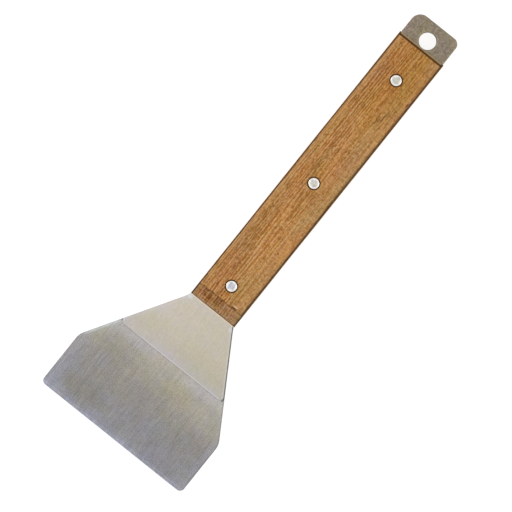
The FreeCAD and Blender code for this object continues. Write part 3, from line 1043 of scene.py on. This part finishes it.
def addRivet(place, shape, material):
    for half, shank, bore in (("sleeve", "sleeveRadius", "boreRadius"), ("post", "postRadius", None)):
        node = "rivet_" + half + "_" + place
        low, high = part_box(node)
        centre = (low + high) / 2
        reach = (high.z - low.z) / 2
        profile = rivetProfile(shape, high.x, reach, -reach, shape[shank], shape[bore] if bore else 0)
        made = addTurned(half + "-" + place, profile, shape["turns"])
        if half == "post":
            made.data.transform(Matrix.Rotation(math.pi, 4, "Y"))
        made.data.transform(Matrix.Translation(centre))
        smooth(made.data)
        settle(made, material, node)


plateSteel = makePlateSteel(plateLook, headShape)
bladeSteel = makeBladeSteel(bladeLook, headShape)
upperWood = makeWood("upperWood", woodLook, scaleShape, 0.0)
lowerWood = makeWood("lowerWood", woodLook, scaleShape, 31.0)
rivetMetal = makeRivetMetal(rivetLook)
print("finishes made")
addSteel("headAndTang", "tang_plate", steelShape, plateSteel)
addSteel("thinBlade", "blade", steelShape, bladeSteel)
print("steel made")
addScale("upperScale", "upper_scale", upperScale, 1, scaleShape, upperWood, 11)
addScale("lowerScale", "lower_scale", lowerScale, -1, scaleShape, lowerWood, 29)
print("scales made")
for place in rivetPlaces:
    addRivet(place, rivetShape, rivetMetal)
print("rivets made")


# The studio: a pale floor that curves up into a far wall, soft lamps and an even sky.
studio = {
    "middleRadius": 0.5,
    "floorRadius": 2.6,
    "coveRadius": 0.9,
    "wallHeight": 1.6,
    "paperDepth": 0.05,
    "bendSteps": 24,
    "turns": 128,
    "floorColour": (0.82, 0.82, 0.82),
    "floorGlow": 0.82,
    "shadowShare": 0.38,
    "skyStrength": 0.5,
    "lamps": [
        # name, place, side, radiance
        ("overheadLamp", (0.0, -0.06, 1.15), 1.3, 0.5),
        ("leftLamp", (-1.2, -0.25, 0.95), 0.8, 4.0),
        ("rightLamp", (1.05, 0.45, 1.0), 0.8, 2.6),
    ],
}


def makeStudioFloor(look):
    # a turned profile: a flat floor, the quarter circle of the cove, an upright wall, and its back
    bend = np.linspace(0, math.pi / 2, look["bendSteps"])
    radius = look["floorRadius"] + look["coveRadius"] * np.sin(bend)
    height = look["coveRadius"] * (1 - np.cos(bend))
    top = look["coveRadius"] + look["wallHeight"]
    back, under = radius[-1] + look["paperDepth"], -look["paperDepth"]
    profile = [(0, 0), (look["middleRadius"], 0), *zip(radius, height)]
    profile += [(radius[-1], top), (back, top), (back, under), (0, under)]
    floor = addTurned("studioFloor", profile, look["turns"])
    paper = Finish("studioPaper")

    # to the camera and in reflections the paper glows, so that the lamps only bring out its shadows
    paths = paper.node("ShaderNodeLightPath", {}, {}, "Is Camera Ray")
    seen = paths
    for ray in ("Is Glossy Ray", "Is Transmission Ray"):
        seen = paper.larger(seen, paths.output(ray))
    colour = paper.blend(seen, look["floorColour"], (look["shadowShare"],) * 3)
    matt = paper.node("ShaderNodeBsdfDiffuse", {}, {"Color": colour})
    strength = seen * look["floorGlow"]
    glow = paper.node("ShaderNodeEmission", {}, {"Color": (1, 1, 1, 1), "Strength": strength})
    both = paper.node("ShaderNodeAddShader", {}, {0: matt, 1: glow})
    floor.data.materials.append(paper.show(both))


# A square lamp that faces the tool, with the power that gives it the named radiance.
def addLamp(name, place, side, radiance):
    lamp = bpy.data.lights.new(name, "AREA")
    lamp.shape = "SQUARE"
    lamp.size = side
    lamp.energy = radiance * math.pi * side * side
    holder = bpy.data.objects.new(name, lamp)
    holder.location = place
    holder.rotation_euler = (-Vector(place)).to_track_quat("-Z", "Y").to_euler()
    holder.visible_camera = False
    bpy.context.scene.collection.objects.link(holder)


makeStudioFloor(studio)
for name, place, side, radiance in studio["lamps"]:
    addLamp(name, place, side, radiance)
sky = bpy.data.worlds.new("studioSky")
sky.use_nodes = True
skyInputs = sky.node_tree.nodes["Background"].inputs
skyInputs["Color"].default_value = (1, 1, 1, 1)
skyInputs["Strength"].default_value = studio["skyStrength"]
bpy.context.scene.world = sky
bpy.context.scene.view_settings.view_transform = "Standard"
print("studio made")

# A long lens looks straight down, turned so that the tail points up and to the right.
view = {
    "centre": (0.08 * mm, -17.14 * mm),
    "distance": 1.6,
    "shownWidth": 285.8 * mm,
    "turn": math.radians(38.66),
    "sensorWidth": 36.0,
}
camera = bpy.data.cameras.new("camera")
camera.sensor_width = view["sensorWidth"]
camera.lens = view["sensorWidth"] * view["distance"] / view["shownWidth"]
cameraHolder = bpy.data.objects.new("camera", camera)
cameraHolder.location = (*view["centre"], plate["high"].z + view["distance"])
cameraHolder.rotation_euler = (0, 0, view["turn"])
bpy.context.scene.collection.objects.link(cameraHolder)
bpy.context.scene.camera = cameraHolder
